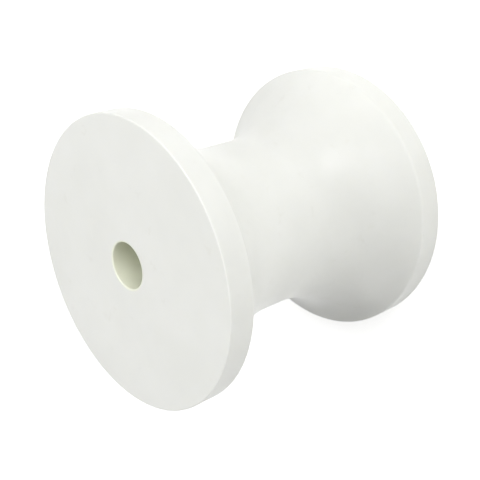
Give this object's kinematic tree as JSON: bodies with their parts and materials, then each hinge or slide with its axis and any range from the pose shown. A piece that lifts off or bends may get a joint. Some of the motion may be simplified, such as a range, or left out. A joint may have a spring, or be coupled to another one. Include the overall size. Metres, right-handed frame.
{
  "type": "boat trailer roller",
  "caption": "White plastic spool roller with a concave waist between two flat flanges and a plain bore along its axis for a shaft.",
  "frame": {"origin": "centre of the lower end face, which the roller stands on", "axes": "+Z along the bore, from the lower end face to the upper one; the roller is the same all round"},
  "size_m": [0.1016, 0.1016, 0.1016],
  "materials": {
    "white_plastic": "satin"
  },
  "bodies": {
    "root": {"roller": "white_plastic"}
  },
  "joints": []
}
